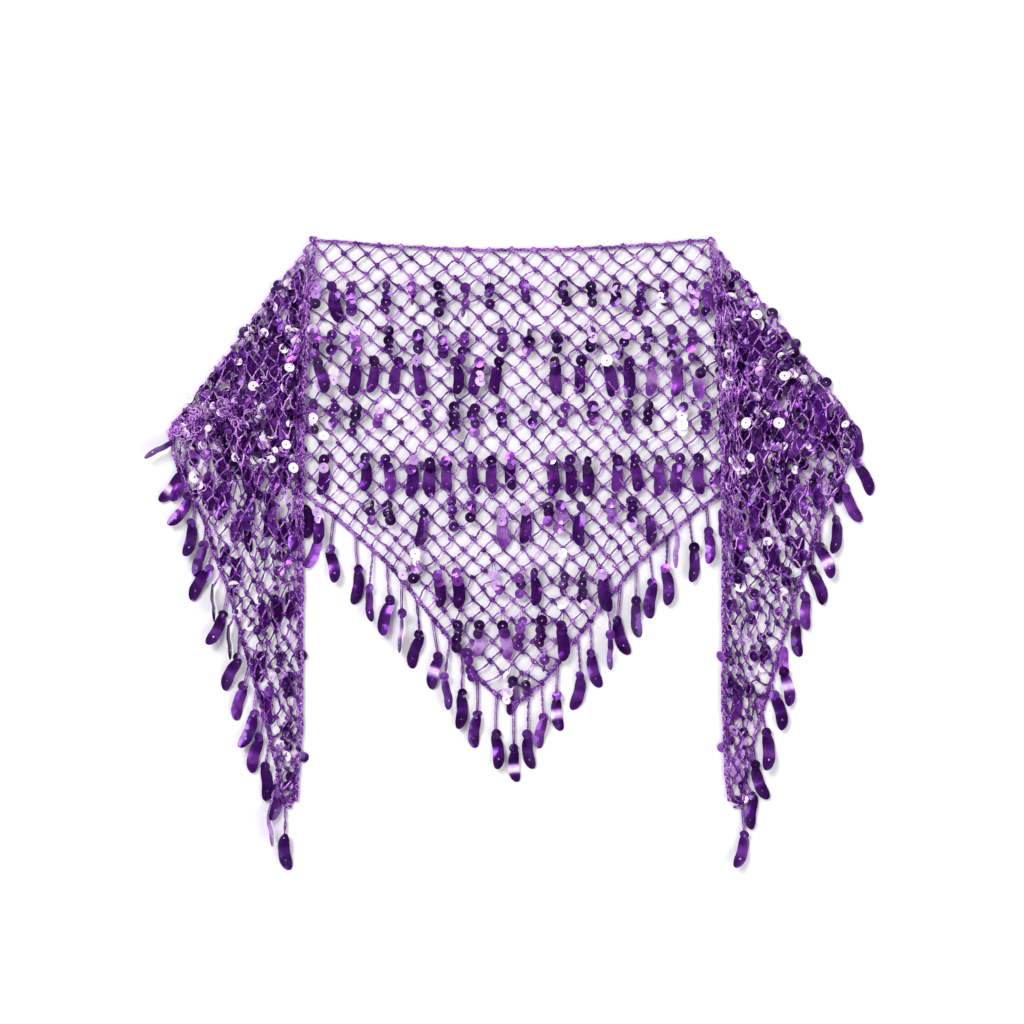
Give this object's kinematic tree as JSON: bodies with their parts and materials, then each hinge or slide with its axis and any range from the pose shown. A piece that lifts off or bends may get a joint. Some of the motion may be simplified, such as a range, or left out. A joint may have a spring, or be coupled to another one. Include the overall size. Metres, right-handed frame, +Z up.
{
  "type": "belly dance hip scarf",
  "caption": "Triangular crocheted net hip scarf with sequins and a bean-sequin fringe, laid flat with both ends folded down over the front.",
  "frame": {"origin": "middle of the laid scarf, on the flat underside of the centre stretch", "axes": "+Z up from the surface that the scarf lies on, +Y from the point of the triangle towards the waist edge, +X towards the folded end on the right as seen from above"},
  "size_m": [0.652, 0.5642, 0.007],
  "materials": {
    "net_yarn": "metallic-twist crochet yarn, slightly sparkling",
    "edge_yarn": "the same yarn, crocheted into a firm cord",
    "foil_fringe": "mirror-bright metallised purple film on purple thread"
  },
  "bodies": {
    "root": {"net_center": "net_yarn", "net_left": "net_yarn", "net_right": "net_yarn", "waist_edge_center": "edge_yarn", "waist_edge_left": "edge_yarn", "waist_edge_right": "edge_yarn", "fringe_center_left": "foil_fringe", "fringe_center_right": "foil_fringe", "fringe_wing_left": "foil_fringe", "fringe_wing_right": "foil_fringe"}
  },
  "joints": []
}
